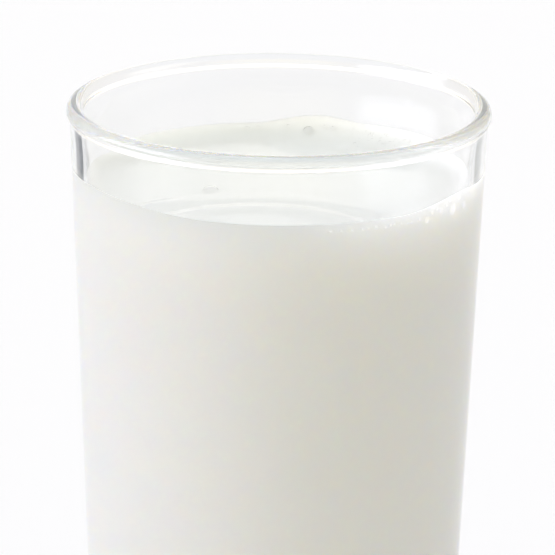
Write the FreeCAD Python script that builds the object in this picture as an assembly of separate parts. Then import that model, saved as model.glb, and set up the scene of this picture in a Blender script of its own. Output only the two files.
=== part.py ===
"""A straight tapered drinking glass with a round beaded rim, filled with milk.

Two solids: the glass, a body of revolution about Z, and the milk that fills it to a level near the rim.
The origin is the centre of the foot, on the surface that the glass stands on. Sizes are in millimetres,
and azimuths are in degrees from +X towards +Y.
"""

import FreeCAD, Part

import math
import os

from FreeCAD import Vector

NODES = "parts"
AXIS = (Vector(0, 0, 0), Vector(0, 0, 1))

# --- driving sizes of the glass ---------------------------------------------------------------------
glass_height = 140.0
rim_radius = 36.0            # outside of the bead
foot_radius = 29.6           # where the outer wall's line meets the table
wall_at_rim = 2.3
wall_at_floor = 3.0
bead_stands_out = 0.5        # how far the bead stands proud of the outer wall
bead_neck_round = 0.8        # hollow corner between the bead and the outer wall
floor_thickness = 9.0        # solid glass under the milk, at the middle
floor_corner_round = 9.0     # inside, where the wall turns into the floor
foot_corner_round = 2.4      # outside, where the wall turns under
standing_ring_width = 4.0    # flat ring that the glass stands on
punt_depth = 1.3             # hollow under the foot

# --- driving sizes of the milk ----------------------------------------------------------------------
milk_below_rim = 14.4        # from the rim's top down to the level surface
meniscus_height = 2.4        # how far the milk climbs the glass all round
meniscus_fade = 1.9          # distance from the wall over which the climb falls to 1/e
meniscus_reach = 8.0         # distance from the wall where the surface counts as level
meniscus_points = 9

ripple_from_wall = 0.6       # the middle of the pour's rings lies this far inside the front wall
ripple_aside = -3.0          # and this far along X
inner_ripple = {"radius": 17.6, "width": 5.4, "height": 0.3}
outer_ripple = {"radius": 23.4, "width": 4.6, "height": 0.2}
ripple_wall_gap = 5.0        # the rings fade out this far from the wall

bubble_radius = 1.5          # the one bubble that floats free, outside the rings
bubble_height = 0.45
bubble_from_ripple = 30.2    # distance and azimuth from the middle of the rings
bubble_azimuth = 106.2

crest_film = 0.5             # thickness of the milk film that clings above the level
back_crest = {"azimuth": 79.5, "half_width": 10.0, "rise": 1.2}
right_crest = {"azimuth": -14.0, "half_width": 21.0, "rise": 1.5}


# --- shared outlines --------------------------------------------------------------------------------
def at(radius, height):
    """A point of a turned outline, in the XZ plane."""
    return Vector(radius, 0, height)


def line(a, b):
    """A straight edge."""
    return Part.LineSegment(a, b).toShape()


def arc(a, middle, b):
    """A round edge through three points."""
    return Part.Arc(a, middle, b).toShape()


def toward(a, b, distance):
    """The point at a distance from a, on the way to b."""
    return a + (b - a).normalize() * distance


def rounded(before, corner, after, radius):
    """The start, middle and end of the arc that rounds a corner between two straight lines."""
    into = (before - corner).normalize()
    out = (after - corner).normalize()
    half = into.getAngle(out) / 2
    setback = radius / math.tan(half)
    centre = corner + (into + out).normalize() * (radius / math.sin(half))
    return (
        corner + into * setback,
        toward(centre, corner, radius),
        corner + out * setback,
    )


def turned(edges):
    """The solid that a closed outline makes when turned about Z."""
    face = Part.Face(Part.Wire(Part.__sortEdges__(edges)))
    return face.revolve(*AXIS, 360)


# --- the glass --------------------------------------------------------------------------------------
bead_radius = (wall_at_rim + bead_stands_out) / 2
bead_centre = at(rim_radius - bead_radius, glass_height - bead_radius)
outer_rim = at(rim_radius - bead_stands_out, glass_height)
outer_foot = at(foot_radius, 0)
floor_middle = at(0, floor_thickness)


def outer_radius(height):
    """Radius of the outer wall's straight line at a height."""
    share = height / glass_height
    return outer_foot.x + (outer_rim.x - outer_foot.x) * share


inner_floor = at(outer_radius(floor_thickness) - wall_at_floor, floor_thickness)


def inner_tangent():
    """Where the inner wall's straight line, which starts at the floor's corner, touches the bead."""
    to_bead = bead_centre - inner_floor
    lean = math.atan2(to_bead.x, to_bead.z)
    swing = math.asin(bead_radius / to_bead.Length)
    along = math.sqrt(to_bead.Length**2 - bead_radius**2)
    angle = lean - swing
    return inner_floor + at(math.sin(angle), math.cos(angle)) * along


inner_rim = inner_tangent()


def inner_radius(height):
    """Radius of the inner wall's straight line at a height."""
    share = (height - inner_floor.z) / (inner_rim.z - inner_floor.z)
    return inner_floor.x + (inner_rim.x - inner_floor.x) * share


def inner_corner():
    """The arc between the inner wall and the floor: its ends and middle, from wall to floor."""
    return rounded(inner_rim, inner_floor, floor_middle, floor_corner_round)


def neck_arc():
    """The hollow arc that joins the bead to the outer wall: its ends and middle, from bead to wall."""
    along = (outer_rim - outer_foot).normalize()
    outward = at(along.z, -along.x)
    start = outer_foot + outward * bead_neck_round
    to_bead = bead_centre - start
    nearest = to_bead.dot(along)
    aside = (to_bead - along * nearest).Length
    down = math.sqrt((bead_radius + bead_neck_round) ** 2 - aside**2)
    centre = start + along * (nearest - down)
    on_bead = toward(bead_centre, centre, bead_radius)
    on_wall = centre - outward * bead_neck_round
    halfway = toward(centre, (on_bead + on_wall) * 0.5, bead_neck_round)
    return on_bead, halfway, on_wall


def punt_arc(ring_inside):
    """The shallow hollow under the foot: its top, a point halfway and its edge at the standing ring."""
    radius = (ring_inside.x**2 + punt_depth**2) / (2 * punt_depth)
    swing = math.asin(ring_inside.x / radius) / 2
    drop = radius * (1 - math.cos(swing))
    return at(0, punt_depth), at(radius * math.sin(swing), punt_depth - drop), ring_inside


def glass():
    """The whole glass in one piece: foot, wall, neck and bead."""
    corner_top, corner_middle, corner_low = inner_corner()
    foot_top, foot_middle, foot_low = rounded(outer_rim, outer_foot, at(0, 0), foot_corner_round)
    on_bead, neck_middle, on_wall = neck_arc()
    bead_top = bead_centre + at(0, bead_radius)
    punt_top, punt_middle, ring_inside = punt_arc(at(foot_low.x - standing_ring_width, 0))
    return turned([
        arc(punt_top, punt_middle, ring_inside),
        line(ring_inside, foot_low),
        arc(foot_low, foot_middle, foot_top),
        line(foot_top, on_wall),
        arc(on_wall, neck_middle, on_bead),
        arc(on_bead, bead_top, inner_rim),
        line(inner_rim, corner_top),
        arc(corner_top, corner_middle, corner_low),
        line(corner_low, floor_middle),
        line(floor_middle, punt_top),
    ])


# --- the milk ---------------------------------------------------------------------------------------
milk_level = glass_height - milk_below_rim
contact_height = milk_level + meniscus_height
ripple_centre = Vector(ripple_aside, ripple_from_wall - inner_radius(milk_level), milk_level)


def meniscus():
    """The curved edge of the milk: level at its inner end, climbing the glass at its outer end."""
    points = []
    wall = inner_radius(contact_height)
    level = math.exp(-meniscus_reach / meniscus_fade)
    for i in range(meniscus_points):
        share = i / (meniscus_points - 1)
        gap = meniscus_reach * (1 - share) ** 2
        climb = (math.exp(-gap / meniscus_fade) - level) / (1 - level)
        points.append(at(wall - gap, milk_level + meniscus_height * climb))
    curve = Part.BSplineCurve()
    curve.interpolate(points)
    return points[0], curve.toShape(), points[-1]


def still_milk():
    """The milk inside the glass, with its climb up the wall but no rings, bubble or crests."""
    foot, curve, contact = meniscus()
    top_middle = at(0, milk_level)
    corner_top, corner_middle, corner_low = inner_corner()
    return turned([
        line(top_middle, foot),
        curve,
        line(contact, corner_top),
        arc(corner_top, corner_middle, corner_low),
        line(corner_low, floor_middle),
        line(floor_middle, top_middle),
    ])


def cap_radius(half_width, height):
    """Radius of the round whose cap has this half width and height."""
    return (half_width**2 + height**2) / (2 * height)


def ripple(radius, width, height):
    """A low round ridge of milk about the middle of the rings, without the part near the glass."""
    round_radius = cap_radius(width / 2, height)
    depth = 2 * height
    root = ripple_centre - at(0, height)
    ridge = Part.makeTorus(radius, round_radius)
    ridge.translate(ripple_centre + at(0, height - round_radius))
    outside = Part.makeCylinder(radius + width, depth, root)
    inside = Part.makeCylinder(radius - width, depth, root)
    open_radius = inner_radius(milk_level) - ripple_wall_gap
    open_milk = Part.makeCylinder(open_radius, depth, at(0, root.z))
    return ridge.common(outside.cut(inside)).common(open_milk)


def floating_bubble():
    """The dome of the one bubble that floats free, with its root just under the milk."""
    turn = math.radians(bubble_azimuth)
    middle = ripple_centre + Vector(math.cos(turn), math.sin(turn), 0) * bubble_from_ripple
    ball_radius = cap_radius(bubble_radius, bubble_height)
    ball = Part.makeSphere(ball_radius, middle + at(0, bubble_height - ball_radius))
    root = middle - at(0, bubble_height / 2)
    return ball.common(Part.makeCylinder(2 * bubble_radius, 2 * bubble_height, root))


def crest(azimuth, half_width, rise):
    """The film of milk that clings to the glass above the level, highest at one azimuth."""
    top = contact_height + rise
    height = top - milk_level
    low_radius = inner_radius(milk_level)
    top_radius = inner_radius(top)
    shell = Part.makeCone(low_radius, top_radius, height)
    core = Part.makeCone(low_radius - crest_film, top_radius - crest_film, height)
    film = shell.cut(core)
    film.translate(at(0, milk_level))
    stand = top - (contact_height - meniscus_height / 2)
    roller_radius = cap_radius(half_width, stand)
    roller = Part.makeCylinder(roller_radius, 2 * rim_radius, at(0, top - roller_radius), Vector(1, 0, 0))
    outline = film.common(roller)
    outline.rotate(*AXIS, azimuth)
    return outline


def milk():
    """The milk with its rings, its bubble and the two places where it clings higher to the glass."""
    whole = still_milk()
    for ring in (inner_ripple, outer_ripple):
        whole = whole.fuse(ripple(**ring))
    whole = whole.fuse(floating_bubble())
    for high_side in (back_crest, right_crest):
        whole = whole.fuse(crest(**high_side))
    return whole.removeSplitter()


def main():
    """Writes one file for each node and says how large its solid is."""
    os.makedirs(NODES, exist_ok=True)
    for name, shape in (("glass", glass()), ("milk", milk())):
        shape.exportStep(os.path.join(NODES, name + ".step"))
        print(name, len(shape.Solids), "solid, valid", shape.isValid(), round(shape.Volume), "mm3")


main()
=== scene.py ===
"""The looks of a drinking glass filled with milk, built around its CAD frame.

The glass is turned by Geometry Nodes from an outline. The milk is a mesh with its climb up the wall, the
rings of the pour and the bubbles that press against the glass. The bubbles that float are placed by Geometry
Nodes. Lengths are in metres. Azimuths are from +X towards +Y.
"""

import math

import bmesh
import bpy
import numpy as np
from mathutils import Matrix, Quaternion, Vector


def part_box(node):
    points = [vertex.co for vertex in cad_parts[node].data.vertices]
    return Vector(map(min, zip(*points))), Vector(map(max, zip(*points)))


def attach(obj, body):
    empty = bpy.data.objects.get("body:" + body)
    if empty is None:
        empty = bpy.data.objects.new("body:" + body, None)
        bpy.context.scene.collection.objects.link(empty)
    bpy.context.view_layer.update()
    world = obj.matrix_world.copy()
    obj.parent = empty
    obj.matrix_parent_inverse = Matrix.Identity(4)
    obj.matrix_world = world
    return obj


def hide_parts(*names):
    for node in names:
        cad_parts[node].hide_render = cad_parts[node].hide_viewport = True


bl_info = {
    "name": "Glass of milk",
    "version": (1, 0, 0),
    "blender": (4, 5, 0),
    "location": "View3D > Sidebar > Milk",
    "description": "Builds a drinking glass filled with milk around its CAD frame",
    "category": "Object",
}

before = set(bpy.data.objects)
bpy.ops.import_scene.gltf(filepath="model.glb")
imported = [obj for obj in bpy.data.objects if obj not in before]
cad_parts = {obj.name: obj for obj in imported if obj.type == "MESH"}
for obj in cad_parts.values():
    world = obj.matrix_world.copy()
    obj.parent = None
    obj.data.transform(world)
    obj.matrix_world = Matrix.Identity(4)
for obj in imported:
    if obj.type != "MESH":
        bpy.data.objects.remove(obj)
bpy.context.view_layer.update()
GLASS_LOW, GLASS_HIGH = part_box("glass")
MILK_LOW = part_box("milk")[0]

MM = 0.001
BODY = "root"
WHITE = (1, 1, 1, 1)


# --- sizes and colours that a user would change -----------------------------------------------------
def length(name, description, default):
    """A length in metres."""
    return bpy.props.FloatProperty(
        name=name, description=description, default=default, unit="LENGTH", subtype="DISTANCE", precision=4
    )


def angle(name, description, degrees):
    """An angle, given in degrees."""
    return bpy.props.FloatProperty(
        name=name, description=description, default=math.radians(degrees), unit="ROTATION", subtype="ANGLE"
    )


def number(name, description, default):
    """A plain number."""
    return bpy.props.FloatProperty(name=name, description=description, default=default, precision=3)


def count(name, description, default):
    """A whole number of at least one."""
    return bpy.props.IntProperty(name=name, description=description, default=default, min=1)


def colour(name, description, default):
    """A colour in linear light."""
    return bpy.props.FloatVectorProperty(
        name=name, description=description, default=default, size=3, subtype="COLOR", min=0, max=4
    )


class GlassSettings(bpy.types.PropertyGroup):
    """The turned glass."""

    height: length("Height", "From the table to the top of the bead", GLASS_HIGH.z)
    rim_radius: length("Rim radius", "Outside of the bead", (GLASS_HIGH.x - GLASS_LOW.x) / 2)
    foot_radius: length("Foot radius", "Where the outer wall's line meets the table", 29.6 * MM)
    wall_at_rim: length("Wall at the rim", "Thickness of the wall below the bead", 2.3 * MM)
    wall_at_floor: length("Wall at the floor", "Thickness of the wall at the floor", 3.0 * MM)
    bead_stands_out: length("Bead stands out", "How far the bead stands proud of the wall", 0.5 * MM)
    bead_neck_round: length("Neck round", "Hollow corner between the bead and the wall", 0.8 * MM)
    floor_thickness: length("Floor", "Solid glass under the milk", MILK_LOW.z)
    floor_corner_round: length("Floor corner", "Inside, where the wall turns into the floor", 9.0 * MM)
    foot_corner_round: length("Foot corner", "Outside, where the wall turns under", 2.4 * MM)
    standing_ring_width: length("Standing ring", "Flat ring that the glass stands on", 4.0 * MM)
    punt_depth: length("Punt depth", "Hollow under the foot", 1.3 * MM)
    segments: count("Segments", "Steps round the axis", 288)
    tint: colour("Tint", "What the glass lets through where it is thick", (0.84, 0.865, 0.88))
    tint_density: number("Tint density", "How fast the tint deepens, per metre", 26.0)
    waviness: length("Waviness", "Height of the soft unevenness that pressing leaves", 0.012 * MM)


class MilkSettings(bpy.types.PropertyGroup):
    """The milk and its surface."""

    below_rim: length("Below the rim", "From the rim's top down to the level surface", 14.4 * MM)
    meniscus_height: length("Meniscus", "How far the milk climbs the glass all round", 2.4 * MM)
    meniscus_fade: length("Meniscus fade", "Distance from the wall over which the climb fades", 1.9 * MM)
    overlap: length("Overlap", "How far the milk reaches into the wall", 0.06 * MM)
    ring_aside: length("Rings aside", "Middle of the pour's rings along X", -3.0 * MM)
    ring_from_wall: length("Rings from the wall", "From the front wall to the middle of the rings", 0.6 * MM)
    ring_height: length("Ring height", "Height of the inner ring", 0.21 * MM)
    # Surface and body are one milk given two colours: the open top is darker, as painted shade where it gets
    # the most light.
    surface: colour("Surface", "Colour of the open surface", (0.87, 0.866, 0.866))
    body: colour("Body", "Colour of the milk behind the glass", (0.965, 0.96, 0.935))
    # The colour below is partly the whiter froth and partly a painted highlight on the band under the milk's
    # edge, the film along the back wall and the bubbles' whites.
    froth: colour("Froth", "Colour of the fine froth under the milk's edge", (0.9995, 0.999, 0.995))
    # Painted glow: light that the frothy milk gives off, though it is no lamp.
    painted_froth_glow: colour("Froth glow", "Faint light of a bubble's white", (0.28, 0.28, 0.322))
    surface_scatter: length("Surface scatter", "How far light spreads under the open surface", 0.5 * MM)
    body_scatter: length("Body scatter", "How far light spreads behind the glass", 9.0 * MM)
    bubble_film: number("Bubble film", "Thickness of a bubble's skin, as a share of its radius", 0.03)
    bubble_sunk: number("Bubble sunk", "How far a bubble lies in the milk, as a share of its radius", 0.45)


class StudioSettings(bpy.types.PropertyGroup):
    """The floor, the light and the camera."""

    room: colour("Room", "Light from every side", (0.76, 0.70, 0.595))
    left: colour("Left light", "Large soft light on the left", (5.5, 5.55, 6.2))
    right: colour("Right light", "Small soft light high on the right", (1.8, 1.8, 1.65))
    back: colour("Back light", "Soft light low behind", (0.62, 0.63, 0.66))
    front: colour("Front light", "Soft light low in front", (0.62, 0.57, 0.20))
    top: colour("Top light", "Soft light from above", (0.0, 0.2, 0.4))
    floor_glow: number("Floor glow", "Light that comes up through the floor", 0.455)
    # The floor dimmer is painted shade: the floor glows less where it shows in and through the glass than
    # where the camera sees it.
    floor_dimmer: number("Floor dimmer", "How much less of it shows in and through the glass", 0.045)
    lens: length("Lens", "Focal length", 0.345)
    camera_distance: length("Camera distance", "From the aim point to the camera", 0.90824)
    camera_elevation: angle("Camera elevation", "How steeply the camera looks down", 16.46)
    camera_roll: angle("Camera roll", "How far the camera leans", 0.74)
    aim_height: length("Aim height", "Height of the point that the camera looks at", 109.2 * MM)


# --- small helpers ----------------------------------------------------------------------------------
def link(piece):
    """Puts an object in the scene."""
    bpy.context.scene.collection.objects.link(piece)
    return piece


def mesh_piece(name, vertices, faces, edges=()):
    """A new object with its mesh."""
    mesh = bpy.data.meshes.new(name)
    mesh.from_pydata([tuple(v) for v in vertices], [tuple(e) for e in edges], [tuple(f) for f in faces])
    mesh.validate()
    return link(bpy.data.objects.new(name, mesh))


def freeze(piece, recalculate=True):
    """Turns a piece with live modifiers into a plain mesh, with its faces pointed outward if asked."""
    depsgraph = bpy.context.evaluated_depsgraph_get()
    mesh = bpy.data.meshes.new_from_object(piece.evaluated_get(depsgraph))
    piece.modifiers.clear()
    piece.data = mesh
    if recalculate:
        shell = bmesh.new()
        shell.from_mesh(mesh)
        bmesh.ops.recalc_face_normals(shell, faces=shell.faces)
        shell.to_mesh(mesh)
        shell.free()
    mesh.shade_smooth()
    return piece


def arc_points(centre, radius, start, end, steps):
    """Points on a round stretch of an outline, from one angle to another, both in degrees."""
    angles = np.radians(np.linspace(start, end, steps + 1))
    return np.stack([centre[0] + radius * np.cos(angles), centre[1] + radius * np.sin(angles)], -1)


def line_points(a, b, steps):
    """Points on a straight stretch of an outline, without its ends."""
    share = np.linspace(0, 1, steps + 1)[1:-1, None]
    return np.asarray(a) * (1 - share) + np.asarray(b) * share


# --- the glass's outline, shared by the glass and the milk ------------------------------------------
class Outline:
    """The glass's outline as radius and height, worked out from its sizes."""

    def __init__(self, sizes):
        self.sizes = sizes
        s = sizes
        self.bead = (s.wall_at_rim + s.bead_stands_out) / 2
        self.bead_centre = np.array([s.rim_radius - self.bead, s.height - self.bead])
        self.outer_rim = np.array([s.rim_radius - s.bead_stands_out, s.height])
        self.outer_foot = np.array([s.foot_radius, 0.0])
        floor = s.floor_thickness
        self.inner_floor = np.array([self.outer_radius(floor) - s.wall_at_floor, floor])
        reach = self.bead_centre - self.inner_floor
        distance = np.hypot(*reach)
        lean = math.atan2(*reach) - math.asin(self.bead / distance)
        along = math.sqrt(distance**2 - self.bead**2)
        self.inner_rim = self.inner_floor + along * np.array([math.sin(lean), math.cos(lean)])
        self.inner_lean = math.degrees(lean)
        self.outer_lean = math.degrees(math.atan2(*(self.outer_rim - self.outer_foot)))

    def outer_radius(self, height):
        """Radius of the outer wall at a height."""
        return self.outer_foot[0] + (self.outer_rim[0] - self.outer_foot[0]) * height / self.sizes.height

    def inner_radius(self, height):
        """Radius of the inner wall at a height."""
        share = (height - self.inner_floor[1]) / (self.inner_rim[1] - self.inner_floor[1])
        return self.inner_floor[0] + (self.inner_rim[0] - self.inner_floor[0]) * share

    def floor_corner(self, grown, steps):
        """The round inside corner from the floor to the wall, moved into the glass by a distance."""
        radius = self.sizes.floor_corner_round
        half = math.radians(90 + self.inner_lean) / 2
        setback = radius / math.tan(half)
        centre = self.inner_floor + np.array([-setback, radius])
        return arc_points(centre, radius + grown, -90, -self.inner_lean, steps)

    def foot_corner(self, steps):
        """The round outside corner from the standing ring to the wall."""
        radius = self.sizes.foot_corner_round
        half = math.radians(90 + self.outer_lean) / 2
        setback = radius / math.tan(half)
        centre = self.outer_foot + np.array([-setback, radius])
        return arc_points(centre, radius, -90, -self.outer_lean, steps)

    def punt(self, ring_inside, steps):
        """The hollow under the foot, from the axis to the standing ring."""
        depth = self.sizes.punt_depth
        radius = (ring_inside**2 + depth**2) / (2 * depth)
        reach = math.degrees(math.asin(ring_inside / radius))
        return arc_points((0, depth - radius), radius, 90, 90 - reach, steps)

    def neck_and_bead(self, neck_steps, bead_steps):
        """The hollow neck and the round bead, from the outer wall over the top to the inner wall."""
        hollow = self.sizes.bead_neck_round
        lean = math.radians(self.outer_lean)
        along = np.array([math.sin(lean), math.cos(lean)])
        outward = np.array([math.cos(lean), -math.sin(lean)])
        start = self.outer_foot + outward * hollow
        to_bead = self.bead_centre - start
        nearest = to_bead @ along
        aside = np.hypot(*(to_bead - along * nearest))
        down = math.sqrt((self.bead + hollow) ** 2 - aside**2)
        centre = start + along * (nearest - down)
        toward_bead = math.degrees(math.atan2(*(self.bead_centre - centre)[::-1]))
        neck = arc_points(centre, hollow, 180 - self.outer_lean, toward_bead, neck_steps)
        bead = arc_points(self.bead_centre, self.bead, toward_bead - 180, 180 - self.inner_lean, bead_steps)
        return neck, bead[1:]

    def whole(self):
        """The closed outline from the middle of the punt round to the middle of the floor."""
        foot = self.foot_corner(8)
        ring_inside = foot[0][0] - self.sizes.standing_ring_width
        punt = self.punt(ring_inside, 24)
        neck, bead = self.neck_and_bead(6, 40)
        corner = self.floor_corner(0, 16)[::-1]
        middle = np.array([[0.0, self.sizes.floor_thickness]])
        return np.concatenate([
            punt,
            line_points(punt[-1], foot[0], 4),
            foot,
            line_points(foot[-1], neck[0], 44),
            neck,
            bead,
            line_points(bead[-1], corner[0], 44),
            corner,
            line_points(corner[-1], middle[0], 10),
            middle,
        ])


# --- node trees -------------------------------------------------------------------------------------
class Nodes:
    """Adds nodes to a tree and links them."""

    def __init__(self, tree):
        self.tree = tree

    def add(self, kind, inputs=None, **settings):
        """A node with its settings, and its inputs given as numbers or as outputs of other nodes."""
        node = self.tree.nodes.new(kind)
        for key, value in settings.items():
            setattr(node, key, value)
        self.fill(node, inputs or {})
        return node

    def fill(self, node, inputs):
        """Sets a node's inputs by name or number."""
        for key, value in inputs.items():
            self.feed(node.inputs[key], value)

    def feed(self, socket, value):
        """Links an output to an input, or gives it a number."""
        if isinstance(value, bpy.types.NodeSocket):
            self.tree.links.new(value, socket)
        else:
            socket.default_value = value

    def math(self, operation, a, b=0.0):
        """One step of arithmetic."""
        return self.add("ShaderNodeMath", {0: a, 1: b}, operation=operation).outputs[0]


class Tree(Nodes):
    """A Geometry Nodes tree under construction."""

    def __init__(self, name, inputs):
        super().__init__(bpy.data.node_groups.new(name, "GeometryNodeTree"))
        face = self.tree.interface
        face.new_socket("Geometry", in_out="INPUT", socket_type="NodeSocketGeometry")
        for label, kind, default in inputs:
            socket = face.new_socket(label, in_out="INPUT", socket_type="NodeSocket" + kind)
            if default is not None:
                socket.default_value = default
        face.new_socket("Geometry", in_out="OUTPUT", socket_type="NodeSocketGeometry")
        self.entry = self.add("NodeGroupInput")
        self.exit = self.add("NodeGroupOutput")

    def finish(self, geometry, material):
        """Ends the tree: its instances become real, and it gets its material."""
        real = self.add("GeometryNodeRealizeInstances", {"Geometry": geometry})
        painted = self.add("GeometryNodeSetMaterial", {"Geometry": real.outputs[0], "Material": material})
        self.tree.links.new(painted.outputs[0], self.exit.inputs[0])
        return self.tree


def lathe_tree():
    """Turns an outline, whose points lie in the XZ plane in order, about Z."""
    tree = Tree("Lathe", [
        ("Segments", "Int", 64),
        ("Weld", "Float", 0.0001),
        ("Material", "Material", None),
    ])
    outline, segments = tree.entry.outputs["Geometry"], tree.entry.outputs["Segments"]
    size = tree.add("GeometryNodeAttributeDomainSize", {"Geometry": outline}, component="MESH")
    columns = tree.math("ADD", segments, 1.0)
    grid = tree.add("GeometryNodeMeshGrid", {
        "Vertices X": size.outputs["Point Count"],
        "Vertices Y": columns,
    })
    index = tree.add("GeometryNodeInputIndex").outputs[0]
    row = tree.math("FLOOR", tree.math("DIVIDE", tree.math("ADD", index, 0.5), columns))
    column = tree.math("SUBTRACT", index, tree.math("MULTIPLY", row, columns))
    position = tree.add("GeometryNodeInputPosition").outputs[0]
    sample = tree.add("GeometryNodeSampleIndex", data_type="FLOAT_VECTOR", domain="POINT")
    tree.feed(sample.inputs["Geometry"], outline)
    tree.feed(sample.inputs["Value"], position)
    tree.feed(sample.inputs["Index"], row)
    place = tree.add("ShaderNodeSeparateXYZ", {0: sample.outputs["Value"]})
    turn = tree.math("MULTIPLY", tree.math("DIVIDE", column, segments), math.tau)
    around = tree.add("ShaderNodeCombineXYZ", {
        "X": tree.math("MULTIPLY", place.outputs["X"], tree.math("COSINE", turn)),
        "Y": tree.math("MULTIPLY", place.outputs["X"], tree.math("SINE", turn)),
        "Z": place.outputs["Z"],
    })
    moved = tree.add("GeometryNodeSetPosition", {
        "Geometry": grid.outputs["Mesh"],
        "Position": around.outputs[0],
    })
    welded = tree.add("GeometryNodeMergeByDistance", {
        "Geometry": moved.outputs[0],
        "Distance": tree.entry.outputs["Weld"],
    })
    return tree.finish(welded.outputs[0], tree.entry.outputs["Material"])


def grow(piece, tree, values, recalculate=True):
    """Gives a piece a Geometry Nodes modifier with its inputs, and turns the result into a plain mesh."""
    modifier = piece.modifiers.new(tree.name, "NODES")
    modifier.node_group = tree
    for item in tree.interface.items_tree:
        if item.item_type == "SOCKET" and item.in_out == "INPUT" and item.name in values:
            modifier[item.identifier] = values[item.name]
    freeze(piece, recalculate)
    piece.data.materials.clear()
    piece.data.materials.append(values["Material"])
    piece.data.polygons.foreach_set("material_index", [0] * len(piece.data.polygons))
    return piece


# --- materials --------------------------------------------------------------------------------------
def material(name):
    """A new node material, with its nodes and its Principled shader."""
    made = bpy.data.materials.new(name)
    made.use_nodes = True
    return made, Nodes(made.node_tree), made.node_tree.nodes["Principled BSDF"]


def unevenness_group():
    """Soft noise over a piece, with its scale in turns per metre, for every material that is uneven."""
    tree = bpy.data.node_groups.new("Unevenness", "ShaderNodeTree")
    for label in ("Scale", "Detail"):
        tree.interface.new_socket(label, in_out="INPUT", socket_type="NodeSocketFloat")
    tree.interface.new_socket("Height", in_out="OUTPUT", socket_type="NodeSocketFloat")
    nodes = Nodes(tree)
    given = nodes.add("NodeGroupInput")
    noise = nodes.add("ShaderNodeTexNoise", {
        "Vector": nodes.add("ShaderNodeTexCoord").outputs["Object"],
        "Scale": given.outputs["Scale"],
        "Detail": given.outputs["Detail"],
    })
    nodes.add("NodeGroupOutput", {"Height": noise.outputs["Fac"]})
    return tree


def unevenness(nodes, scale, detail):
    """Places the shared noise in a material."""
    group = bpy.data.node_groups.get("Unevenness") or unevenness_group()
    placed = nodes.add("ShaderNodeGroup", {"Scale": scale, "Detail": detail}, node_tree=group)
    return placed.outputs["Height"]


def clear_glass(sizes):
    """Clear pressed glass: faintly uneven, and a little grey where it is thick."""
    made, nodes, shader = material("clear_glass")
    relief = nodes.add("ShaderNodeBump", {
        "Distance": sizes.waviness,
        "Height": unevenness(nodes, scale=90.0, detail=1.0),
    })
    nodes.fill(shader, {
        "Base Color": WHITE,
        "Roughness": 0.0,
        "IOR": 1.5,
        "Transmission Weight": 1.0,
        "Normal": relief.outputs["Normal"],
    })
    depth = nodes.add("ShaderNodeVolumeAbsorption", {
        "Color": (*sizes.tint, 1),
        "Density": sizes.tint_density,
    })
    nodes.fill(nodes.tree.nodes["Material Output"], {"Volume": depth.outputs[0]})
    return made


def milk_material(name, base, scatter, reach, shine, sizes):
    """Milk: soft inside and faintly uneven with cream; where the froth mask is high it is whiter, partly
    froth and partly painted highlight, and it gives off a painted glow.
    """
    made, nodes, shader = material(name)
    cream = nodes.add("ShaderNodeMix", {
        "Factor": unevenness(nodes, scale=120.0, detail=2.0),
        "A": (*(c * 0.99 for c in base), 1),
        "B": (*(min(c * 1.01, 0.99) for c in base), 1),
    }, data_type="RGBA")
    # The mask of froth and painted highlight, read from the mesh.
    froth = nodes.add("ShaderNodeAttribute", attribute_name="froth").outputs["Fac"]
    whiter = nodes.add("ShaderNodeMix", {
        "Factor": froth,
        "A": cream.outputs["Result"],
        "B": (*sizes.froth, 1),
    }, data_type="RGBA")
    # Painted glow: the milk gives off light where the mask is high.
    glow = nodes.add("ShaderNodeVectorMath", {
        0: tuple(sizes.painted_froth_glow),
        "Scale": nodes.math("POWER", froth, 3.0),
    }, operation="SCALE")
    nodes.fill(shader, {
        "Base Color": whiter.outputs["Result"],
        "Roughness": 0.06,
        "IOR": 1.35,
        "Specular IOR Level": shine,
        "Subsurface Weight": 1.0,
        "Subsurface Radius": reach,
        "Subsurface Scale": scatter,
        "Emission Color": glow.outputs[0],
        "Emission Strength": 1.0,
    })
    return made


def bubble_skin():
    """The thin clear skin of a bubble."""
    made, nodes, shader = material("bubble_film")
    nodes.fill(shader, {"Base Color": WHITE, "Roughness": 0.02, "IOR": 1.12, "Transmission Weight": 1.0})
    return made


# --- the milk's surface -----------------------------------------------------------------------------
# Where the milk clings higher to the glass: azimuth and half width in degrees, rise, and flatness on top.
CLINGS = (
    (79.5, 17.0, 1.2 * MM, 2),
    (24.0, 66.0, 1.05 * MM, 4),
    (-31.0, 22.0, 0.95 * MM, 2),
    (-158.0, 50.0, 1.0 * MM, 2),
)

# Bubbles against the glass under the milk's edge: azimuth in degrees, height over the level, and radius.
WALL_BUBBLES = (
    (-31.0, 1.3 * MM, 0.95 * MM),
    (-24.5, 0.9 * MM, 0.60 * MM),
    (-37.0, 1.5 * MM, 0.52 * MM),
    (-43.0, 0.8 * MM, 0.50 * MM),
    (-27.5, 2.4 * MM, 0.30 * MM),
    (-20.5, 2.2 * MM, 0.26 * MM),
    (-33.0, 2.8 * MM, 0.22 * MM),
    (-34.5, 2.3 * MM, 0.26 * MM),
    (-39.0, 2.1 * MM, 0.24 * MM),
    (-41.0, 1.7 * MM, 0.26 * MM),
    (-46.0, 1.2 * MM, 0.28 * MM),
)

# Bubbles that float along the back wall: azimuth in degrees, and radius.
BACK_BUBBLES = (
    (100.0, 0.45 * MM),
    (96.5, 0.4 * MM),
    (87.0, 0.5 * MM),
    (80.5, 1.05 * MM),
    (75.0, 0.45 * MM),
    (72.5, 0.55 * MM),
)

# Specks of froth tried along the back wall. The few that fall too far from it are left out.
BACK_SPECKS = 46

# The most that froth and painted highlight reach outside a bubble; they are one on a bubble's white, which
# is a painted highlight.
THICK_FROTH_AND_HIGHLIGHT = 0.8


def bump(value, sharpness=2):
    """A smooth hump: one where the value is nought, and nought where it is one or more."""
    return (1 - np.clip(np.abs(value), 0, 1) ** sharpness) ** 2


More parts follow.
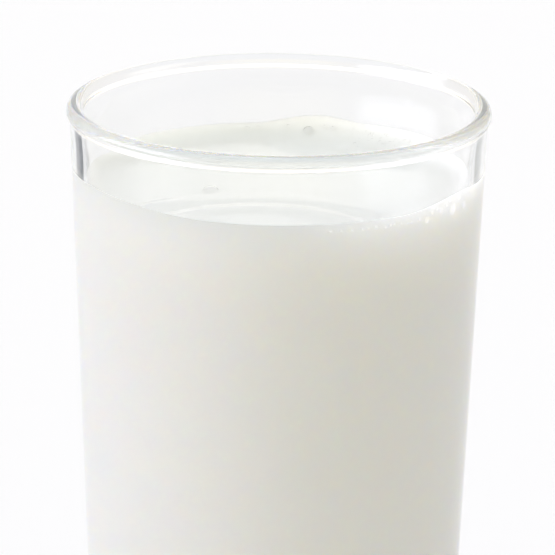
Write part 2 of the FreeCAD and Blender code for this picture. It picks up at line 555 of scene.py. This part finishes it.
def turn_between(azimuth, middle):
    """How far an azimuth in radians is from a middle in degrees, in degrees either way."""
    return (np.degrees(azimuth) - middle + 180) % 360 - 180


class Surface:
    """Height of the milk's surface over the glass's floor plan."""

    def __init__(self, sizes, outline, rim_height):
        self.sizes = sizes
        self.outline = outline
        self.level = rim_height - sizes.below_rim
        self.contact = self.level + sizes.meniscus_height
        self.wall = outline.inner_radius(self.contact)
        front_wall = outline.inner_radius(self.level)
        self.ring_middle = (sizes.ring_aside, sizes.ring_from_wall - front_wall)

    def clings(self, azimuth):
        """How much higher the milk clings to the wall at an azimuth, in radians."""
        rise = np.zeros_like(azimuth)
        for middle, half_width, height, flatness in CLINGS:
            rise += height * bump(turn_between(azimuth, middle) / half_width, flatness)
        return rise

    def from_rings(self, x, y):
        """Distance from the middle of the rings."""
        return np.hypot(x - self.ring_middle[0], y - self.ring_middle[1])

    def rings(self, x, y, gap):
        """The rings left by the last of the pour, with the fold where the outer one meets the left side."""
        distance = self.from_rings(x, y)
        azimuth = np.arctan2(y - self.ring_middle[1], x - self.ring_middle[0])
        fold = bump(turn_between(azimuth, 130) / 15)
        inner = ridge(distance, 13.6 * MM, 18.6 * MM, 21.2 * MM)
        outer = ridge(distance, 21.2 * MM, 23.4 * MM, 29 * MM) * 0.6 * (1 - fold)
        folded = ridge(distance, 20 * MM, 26 * MM, 28.7 * MM) * fold * 1.4
        fade_right = 1 - 0.75 * np.clip((x - 5 * MM) / (12 * MM), 0, 1)
        near_wall = np.clip((gap - 2 * MM) / (4.5 * MM), 0, 1)
        height = (inner + outer + folded) * self.sizes.ring_height
        return height * fade_right * near_wall**2 * (3 - 2 * near_wall)

    def height(self, x, y):
        """Height of the surface at a place."""
        s = self.sizes
        gap = np.maximum(self.wall - np.hypot(x, y), 0)
        climb = s.meniscus_height * np.exp(-gap / s.meniscus_fade)
        cling = self.clings(np.arctan2(y, x)) * np.exp(-gap / (0.9 * MM))
        return self.level + climb + cling + self.rings(x, y, gap)


def ridge(distance, inner, crest, outer):
    """A round ridge that rises from its inner foot to its crest and falls to its outer foot, one high."""
    rising = np.clip((distance - inner) / (crest - inner), 0, 1)
    falling = np.clip((distance - crest) / (outer - crest), 0, 1)
    return 0.25 * (1 - np.cos(math.pi * rising)) * (1 + np.cos(math.pi * falling))


def fine_row():
    """The row of fine bubbles under the milk's edge in front, as azimuth, height and radius."""
    draw = np.random.default_rng(7)
    row = []
    azimuth = -75.0
    while azimuth < -48:
        row.append((azimuth, (1.15 + draw.normal(0, 0.12)) * MM, draw.uniform(0.15, 0.24) * MM))
        azimuth += draw.uniform(1.2, 3.6)
    return row


def azimuth_steps(steps, fine_from, fine_to, fine_factor):
    """Azimuths round the glass, closer together between two of them, in radians."""
    scan = np.linspace(-math.pi, math.pi, 7201)
    near = np.minimum(scan - math.radians(fine_from), math.radians(fine_to) - scan)
    density = 1 + (fine_factor - 1) * np.clip(near / math.radians(4) + 0.5, 0, 1)
    total = np.concatenate([[0], np.cumsum((density[1:] + density[:-1]) / 2)])
    return np.interp(np.linspace(0, total[-1], steps + 1)[:-1], total, scan)


def blisters(surface, bubbles, azimuth, z):
    """Where bubbles press against the glass: one over each, nought elsewhere, with a narrow soft edge."""
    pressed = np.zeros_like(azimuth)
    for middle, height, radius in bubbles:
        across = turn_between(azimuth, middle) * math.radians(surface.wall)
        distance = np.hypot(across, z - surface.level - height) / radius
        pressed = np.maximum(pressed, np.clip((1.1 - distance) / 0.25, 0, 1))
    return pressed


def surface_froth_and_highlight(surface, azimuth, x, y, gap):
    """How much froth and painted highlight the open milk has: along the back wall, and inside the rings."""
    back = 0.68 * bump(turn_between(azimuth, 85) / 95, 4) * np.exp(-gap / (4 * MM))
    in_rings = 0.5 * bump(surface.from_rings(x, y) / (16 * MM), 4)
    return np.maximum(back, in_rings)


def wall_froth_and_highlight(surface, azimuth, z, edge, pressed):
    """How much froth and painted highlight the milk has against the glass: a band under its edge, halos
    round bubbles, and bubbles.
    """
    below = edge - z
    froth = THICK_FROTH_AND_HIGHLIGHT * bump(turn_between(azimuth, -45) / 60, 3)
    froth = froth * np.exp(-below / (14 * MM)) * bump(below / (18 * MM), 4)
    for middle, height, radius in WALL_BUBBLES:
        across = turn_between(azimuth, middle + 1) * math.radians(surface.wall)
        down = surface.level + height - z - 0.7 * radius
        froth = froth + 0.25 * bump(np.hypot(across, down) / (2.4 * radius))
    return np.maximum(np.clip(froth, 0, THICK_FROTH_AND_HIGHLIGHT), pressed)


def row_of(azimuths, radius, z):
    """A row of points round the axis."""
    height = np.broadcast_to(z, azimuths.shape)
    return np.stack([radius * np.cos(azimuths), radius * np.sin(azimuths), height], -1)


def open_rows(surface, azimuths):
    """Rows of the open surface from near the middle out to the wall, and their froth and painted highlight.
    """
    outer = 1 - 0.14 * (1 - np.linspace(0, 1, 26)[1:]) ** 1.3
    for share in (*np.linspace(0, 0.86, 50)[1:], *outer):
        row = row_of(azimuths, share * surface.wall, 0)
        x, y = row[:, 0], row[:, 1]
        row[:, 2] = surface.height(x, y)
        yield row, surface_froth_and_highlight(surface, azimuths, x, y, (1 - share) * surface.wall)


def side_rows(sizes, outline, surface, azimuths, edge, low):
    """Rows against the wall from the milk's edge down past the bubbles, and their froth and painted
    highlight.
    """
    fine_low = surface.level - 0.8 * MM
    heights = [edge + (fine_low - edge) * share for share in np.linspace(0, 1, 30)]
    heights += [fine_low + (low - fine_low) * share**1.3 + 0 * edge for share in np.linspace(0, 1, 17)[1:]]
    bubbles = [*WALL_BUBBLES, *fine_row()]
    for z in heights:
        pressed = blisters(surface, bubbles, azimuths, z)
        radius = outline.inner_radius(z) + sizes.overlap * (1 + pressed)
        yield row_of(azimuths, radius, z), wall_froth_and_highlight(surface, azimuths, z, edge, pressed)


def bottom_rows(sizes, outline, azimuths, low):
    """Rows of the plain lower wall, the round corner and the floor, with no froth and no painted highlight.
    """
    corner = outline.floor_corner(sizes.overlap, 12)[::-1]
    wall_low = (outline.inner_radius(low) + sizes.overlap, low)
    floor = [(corner[-1][0] * share, corner[-1][1]) for share in np.linspace(1, 0, 7)[1:-1]]
    for radius, z in (*line_points(wall_low, corner[0], 8), *corner, *floor):
        yield row_of(azimuths, radius, z), np.zeros(len(azimuths))


def closed_faces(steps, rows):
    """Faces between rows of points round the axis, closed by a middle point at each end."""
    last = 1 + (rows - 1) * steps
    following = [(j, (j + 1) % steps) for j in range(steps)]
    faces = [(0, 1 + j, 1 + k) for j, k in following]
    for a in range(1, last, steps):
        b = a + steps
        faces.extend((a + j, b + j, b + k, a + k) for j, k in following)
    faces.extend((last + j, last + steps, last + k) for j, k in following)
    return faces


def milk_mesh(sizes, outline, surface):
    """Vertices, faces, and froth and painted highlight of the milk, and how many of the faces are its open
    surface.
    """
    azimuths = azimuth_steps(560, fine_from=-77, fine_to=-17, fine_factor=5)
    low = surface.level - 14 * MM
    rows = list(open_rows(surface, azimuths))
    open_faces = len(rows) * len(azimuths)
    edge = rows[-1][0][:, 2]
    rows += side_rows(sizes, outline, surface, azimuths, edge, low)
    rows += bottom_rows(sizes, outline, azimuths, low)
    top = surface.height(np.zeros(1), np.zeros(1))[0]
    vertices = np.concatenate([[[0, 0, top]], *(row for row, _ in rows), [[0, 0, rows[-1][0][0, 2]]]])
    froth = np.concatenate([[0], *(share for _, share in rows), [0]])
    return vertices, closed_faces(len(azimuths), len(rows)), froth, open_faces


# --- the bubbles on the surface ---------------------------------------------------------------------
def loose_bubbles(surface):
    """Middles and radii of the bubbles that float on the milk: one alone, a row and froth at the back."""
    draw = np.random.default_rng(11)
    found = [((-11.4 * MM, -3.0 * MM), 1.5 * MM)]

    def at_wall(azimuth, gap):
        radius = surface.wall - gap
        return radius * math.cos(math.radians(azimuth)), radius * math.sin(math.radians(azimuth))

    for azimuth, radius in BACK_BUBBLES:
        found.append((at_wall(azimuth, 1.1 * radius + 0.3 * MM), radius))
    for _ in range(BACK_SPECKS):
        azimuth = draw.triangular(40, 55, 74)
        gap = draw.exponential(1.6) + 0.5
        if gap < 8:
            found.append((at_wall(azimuth, gap * MM), draw.uniform(0.14, 0.34) * MM))
    for azimuth, height, radius in WALL_BUBBLES[:4]:
        found.append((at_wall(azimuth, radius), 0.8 * radius))
    return found


def bubble_points(surface):
    """A mesh of one vertex for each loose bubble, with its radius and the way that the milk faces there."""
    found = loose_bubbles(surface)
    x, y = np.array([place for place, _ in found]).T
    radius = np.array([r for _, r in found])
    step = 0.1 * MM
    z = surface.height(x, y)
    slope_x = (surface.height(x + step, y) - surface.height(x - step, y)) / (2 * step)
    slope_y = (surface.height(x, y + step) - surface.height(x, y - step)) / (2 * step)
    facing = np.stack([-slope_x, -slope_y, np.ones(len(x))], -1)
    facing /= np.linalg.norm(facing, axis=1, keepdims=True)
    points = mesh_piece("surface_bubbles", np.stack([x, y, z], -1), [])
    points.data.attributes.new("radius", "FLOAT", "POINT").data.foreach_set("value", radius)
    points.data.attributes.new("facing", "FLOAT_VECTOR", "POINT").data.foreach_set("vector", facing.ravel())
    return points


def bubbles_tree():
    """Puts a thin round shell on every point, sized by the point's radius and sunk a little."""
    tree = Tree("Bubbles", [
        ("Film", "Float", 0.03),
        ("Sunk", "Float", 0.45),
        ("Material", "Material", None),
    ])
    outside = tree.add("GeometryNodeMeshIcoSphere", {"Radius": 1.0, "Subdivisions": 4})
    inside = tree.add("GeometryNodeMeshIcoSphere", {"Subdivisions": 4})
    tree.feed(inside.inputs["Radius"], tree.math("SUBTRACT", 1.0, tree.entry.outputs["Film"]))
    turned = tree.add("GeometryNodeFlipFaces", {"Mesh": inside.outputs["Mesh"]})
    shell = tree.add("GeometryNodeJoinGeometry")
    tree.tree.links.new(outside.outputs["Mesh"], shell.inputs[0])
    tree.tree.links.new(turned.outputs["Mesh"], shell.inputs[0])
    facing = tree.add("GeometryNodeInputNamedAttribute", {"Name": "facing"}, data_type="FLOAT_VECTOR")
    radius = tree.add("GeometryNodeInputNamedAttribute", {"Name": "radius"}, data_type="FLOAT")
    upright = tree.add("FunctionNodeAlignRotationToVector", {
        "Vector": facing.outputs["Attribute"],
    }, axis="Z")
    placed = tree.add("GeometryNodeInstanceOnPoints", {
        "Points": tree.entry.outputs["Geometry"],
        "Instance": shell.outputs[0],
        "Rotation": upright.outputs[0],
        "Scale": radius.outputs["Attribute"],
    })
    drop = tree.math("MULTIPLY", tree.entry.outputs["Sunk"], -1.0)
    sunk = tree.add("GeometryNodeTranslateInstances", {
        "Instances": placed.outputs[0],
        "Translation": tree.add("ShaderNodeCombineXYZ", {"Z": drop}).outputs[0],
    })
    return tree.finish(sunk.outputs[0], tree.entry.outputs["Material"])


# --- operators --------------------------------------------------------------------------------------
class MILK_OT_glass(bpy.types.Operator):
    """Turn the glass from its outline"""

    bl_idname = "milk.glass"
    bl_label = "Glass"

    def execute(self, context):
        sizes = context.scene.drinking_glass
        outline = Outline(sizes).whole()
        points = [(r, 0, z) for r, z in outline]
        edges = [(i, i + 1) for i in range(len(points) - 1)]
        piece = mesh_piece("drinking_glass", points, [], edges)
        grow(piece, lathe_tree(), {
            "Segments": sizes.segments,
            "Weld": 0.00001,
            "Material": clear_glass(sizes),
        })
        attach(piece, BODY)
        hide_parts("glass")
        return {"FINISHED"}


class MILK_OT_milk(bpy.types.Operator):
    """Fill the glass with milk"""

    bl_idname = "milk.milk"
    bl_label = "Milk"

    def execute(self, context):
        sizes = context.scene.milk
        glass = context.scene.drinking_glass
        outline = Outline(glass)
        surface = Surface(sizes, outline, glass.height)
        vertices, faces, froth, open_faces = milk_mesh(sizes, outline, surface)
        piece = mesh_piece("milk_fill", vertices, faces)
        for finish in (
            # One milk in two colours: the open surface is darker, as painted shade on the brightly lit top.
            milk_material("milk_surface", sizes.surface, sizes.surface_scatter, (1, 1, 1), 0.5, sizes),
            milk_material("milk_behind_glass", sizes.body, sizes.body_scatter, (1, 0.85, 0.6), 0.0, sizes),
        ):
            piece.data.materials.append(finish)
        zones = [int(i >= open_faces) for i in range(len(faces))]
        piece.data.polygons.foreach_set("material_index", zones)
        # The mask of froth and painted highlight goes onto the mesh for the materials.
        piece.data.attributes.new("froth", "FLOAT", "POINT").data.foreach_set("value", froth)
        freeze(piece)
        piece.data.set_sharp_from_angle(angle=math.radians(35))
        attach(piece, BODY)
        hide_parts("milk")
        return {"FINISHED"}


class MILK_OT_bubbles(bpy.types.Operator):
    """Float the loose bubbles on the milk"""

    bl_idname = "milk.bubbles"
    bl_label = "Bubbles"

    def execute(self, context):
        sizes = context.scene.milk
        glass = context.scene.drinking_glass
        piece = bubble_points(Surface(sizes, Outline(glass), glass.height))
        values = {"Film": sizes.bubble_film, "Sunk": sizes.bubble_sunk, "Material": bubble_skin()}
        grow(piece, bubbles_tree(), values, recalculate=False)
        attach(piece, BODY)
        return {"FINISHED"}


# The room's soft lights: setting, azimuth and elevation of the middle, and spread, in degrees.
LIGHTS = (
    ("left", 192, 5, 37),
    ("back", 90, 8, 22),
    ("right", -10, 30, 27),
    ("front", -90, 12, 48),
    ("top", 0, 90, 62),
)

# Cards flat on the floor behind the glass, which draw the edges of the clear wall as painted dark and pale
# bands seen only through the glass: azimuths and colour.
CARDS = {
    "dark_card": ((114.5, 128), (0.11, 0.12, 0.145, 1)),
    "pale_card": ((54, 66), (0.5, 0.5, 0.5, 1)),
}

# How far from the glass's axis the cards begin and end.
CARD_NEAR, CARD_FAR = 0.39, 0.54


def lobe(nodes, azimuth, elevation, spread, colour):
    """A round soft light in the room, brightest in the middle."""
    azimuth, elevation = math.radians(azimuth), math.radians(elevation)
    flat = math.cos(elevation)
    nearness = nodes.add("ShaderNodeVectorMath", {
        0: nodes.add("ShaderNodeTexCoord").outputs["Generated"],
        1: (flat * math.cos(azimuth), flat * math.sin(azimuth), math.sin(elevation)),
    }, operation="DOT_PRODUCT")
    fade = nodes.add("ShaderNodeMapRange", {
        "Value": nearness.outputs["Value"],
        "From Min": math.cos(math.radians(spread)),
        "From Max": 1.0,
    }, interpolation_type="SMOOTHSTEP")
    scaled = {0: tuple(colour), "Scale": fade.outputs["Result"]}
    return nodes.add("ShaderNodeVectorMath", scaled, operation="SCALE").outputs[0]


class MILK_OT_stage(bpy.types.Operator):
    """Set up the floor, the light and the camera"""

    bl_idname = "milk.stage"
    bl_label = "Stage"

    def execute(self, context):
        studio = context.scene.studio
        self.floor(studio)
        for name, (turns, colour) in CARDS.items():
            self.card(name, turns, colour)
        self.light(context.scene, studio)
        self.camera(context.scene, studio)
        return {"FINISHED"}

    def floor(self, studio):
        """A wide plain pale floor that glows, less in and through the glass than to the camera: painted
        shade on what the glass shows.
        """
        half, drop = 4.0, -0.05 * MM
        corners = [(x * half, y * half, drop) for x, y in ((-1, -1), (1, -1), (1, 1), (-1, 1))]
        floor = mesh_piece("floor", corners, [(0, 1, 2, 3)])
        made, nodes, shader = material("pale_floor")
        glow = nodes.add("ShaderNodeMapRange", {
            "Value": nodes.add("ShaderNodeLightPath").outputs["Is Camera Ray"],
            "To Min": studio.floor_glow - studio.floor_dimmer,
            "To Max": studio.floor_glow,
        })
        nodes.fill(shader, {
            "Base Color": (0.5, 0.5, 0.5, 1),
            "Roughness": 0.6,
            "Specular IOR Level": 0.0,
            "Emission Color": (1.0, 0.96, 1.01, 1),
            "Emission Strength": glow.outputs["Result"],
        })
        either = nodes.add("ShaderNodeMixShader", {
            "Fac": nodes.add("ShaderNodeNewGeometry").outputs["Backfacing"],
            1: shader.outputs[0],
            2: nodes.add("ShaderNodeBsdfTransparent").outputs[0],
        })
        nodes.fill(nodes.tree.nodes["Material Output"], {"Surface": either.outputs[0]})
        floor.data.materials.append(made)

    def card(self, name, turns, colour):
        """A card flat on the floor, between two azimuths, that shows only through the glass, as a painted
        band in its wall.
        """
        corners = []
        for radius, azimuths in ((CARD_NEAR, turns), (CARD_FAR, turns[::-1])):
            for azimuth in azimuths:
                turn = math.radians(azimuth)
                corners.append((radius * math.cos(turn), radius * math.sin(turn), 0.2 * MM))
        card = mesh_piece(name, corners, [(0, 1, 2, 3)])
        made, nodes, shader = material(name)
        nodes.fill(shader, {"Base Color": colour, "Specular IOR Level": 0.0})
        card.data.materials.append(made)
        card.visible_camera = False
        card.visible_diffuse = False
        card.visible_glossy = False
        card.visible_shadow = False

    def light(self, scene, studio):
        """A bright room with soft lights, the largest on the left."""
        scene.world = bpy.data.worlds.new("studio")
        scene.world.use_nodes = True
        nodes = Nodes(scene.world.node_tree)
        total = tuple(studio.room)
        for setting, azimuth, elevation, spread in LIGHTS:
            lamp = lobe(nodes, azimuth, elevation, spread, getattr(studio, setting))
            total = nodes.add("ShaderNodeVectorMath", {0: lamp, 1: total}, operation="ADD").outputs[0]
        nodes.fill(nodes.tree.nodes["Background"], {"Color": total, "Strength": 1.0})
        scene.view_settings.view_transform = "Standard"
        scene.cycles.diffuse_bounces = 8
        scene.cycles.glossy_bounces = 32
        scene.cycles.transmission_bounces = 32
        scene.cycles.max_bounces = 48

    def camera(self, scene, studio):
        """The camera looks a little down at the upper part of the glass."""
        data = bpy.data.cameras.new("camera")
        data.sensor_width = 36
        data.lens = studio.lens * 1000
        camera = link(bpy.data.objects.new("camera", data))
        aim = Vector((0.09 * MM, 0, studio.aim_height))
        elevation = studio.camera_elevation
        back = Vector((0, -math.cos(elevation), math.sin(elevation)))
        camera.location = aim + back * studio.camera_distance
        camera.rotation_mode = "QUATERNION"
        lean = Quaternion((0, 0, 1), studio.camera_roll)
        camera.rotation_quaternion = (-back).to_track_quat("-Z", "Y") @ lean
        scene.camera = camera


class MILK_PT_panel(bpy.types.Panel):
    """Lists the pieces"""

    bl_idname = "MILK_PT_panel"
    bl_label = "Glass of milk"
    bl_space_type = "VIEW_3D"
    bl_region_type = "UI"
    bl_category = "Milk"

    def draw(self, context):
        for operator in OPERATORS:
            self.layout.operator(operator.bl_idname)


SETTINGS = {"drinking_glass": GlassSettings, "milk": MilkSettings, "studio": StudioSettings}
OPERATORS = (MILK_OT_glass, MILK_OT_milk, MILK_OT_bubbles, MILK_OT_stage)
CLASSES = (*SETTINGS.values(), *OPERATORS, MILK_PT_panel)


def register():
    """Makes the settings, the operators and the panel known."""
    for made in CLASSES:
        bpy.utils.register_class(made)
    for name, group in SETTINGS.items():
        setattr(bpy.types.Scene, name, bpy.props.PointerProperty(type=group))


def unregister():
    """Takes them away again."""
    for name in SETTINGS:
        delattr(bpy.types.Scene, name)
    for made in reversed(CLASSES):
        bpy.utils.unregister_class(made)


def main():
    """Builds every piece and the stage."""
    register()
    for operator in OPERATORS:
        group, name = operator.bl_idname.split(".")
        getattr(getattr(bpy.ops, group), name)()


if __name__ == "__main__":
    main()
